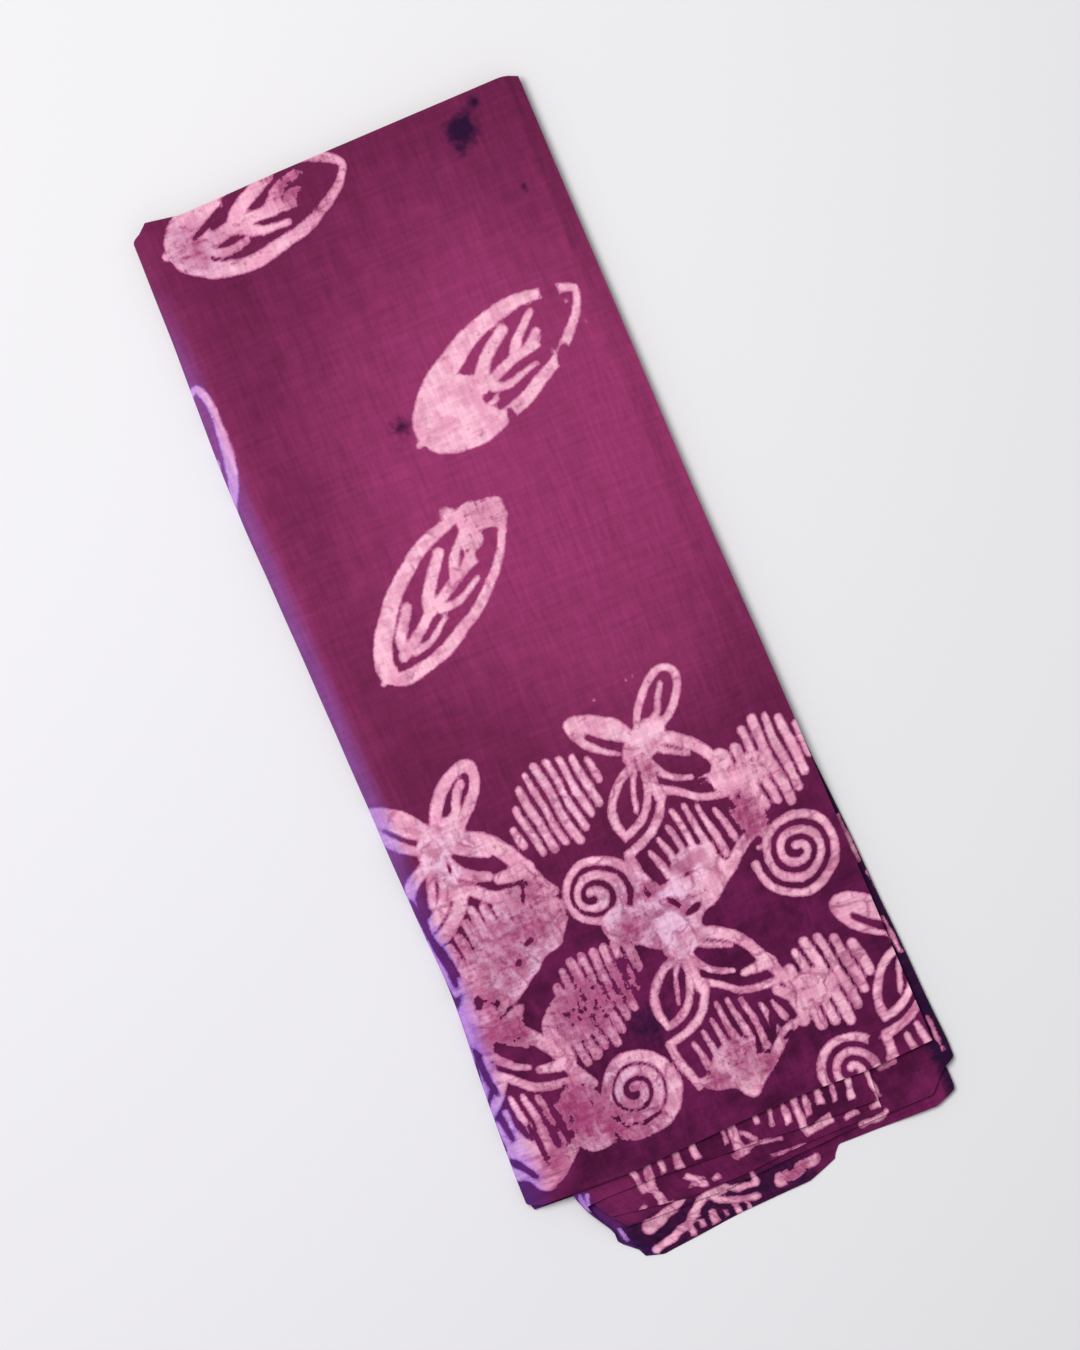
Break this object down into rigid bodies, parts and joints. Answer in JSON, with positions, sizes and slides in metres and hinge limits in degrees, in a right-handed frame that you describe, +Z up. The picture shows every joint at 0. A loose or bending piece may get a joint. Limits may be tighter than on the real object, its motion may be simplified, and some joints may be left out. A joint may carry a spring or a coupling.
{
  "type": "length of batik fabric",
  "caption": "Folded length of hand-stamped batik cotton, doubled across and folded back and forth into a long flat bundle.",
  "frame": {"origin": "middle of the underside, at the centre of the bounding box's bottom face", "axes": "+X across the folds to the right, +Y along the cloth towards the doubled fold, +Z up"},
  "size_m": [0.25, 0.6328, 0.0124],
  "materials": {
    "cotton": "matt plain-weave cotton, plum dye with pink wax-resist stamps"
  },
  "bodies": {
    "root": {"cloth": "cotton"}
  },
  "joints": []
}
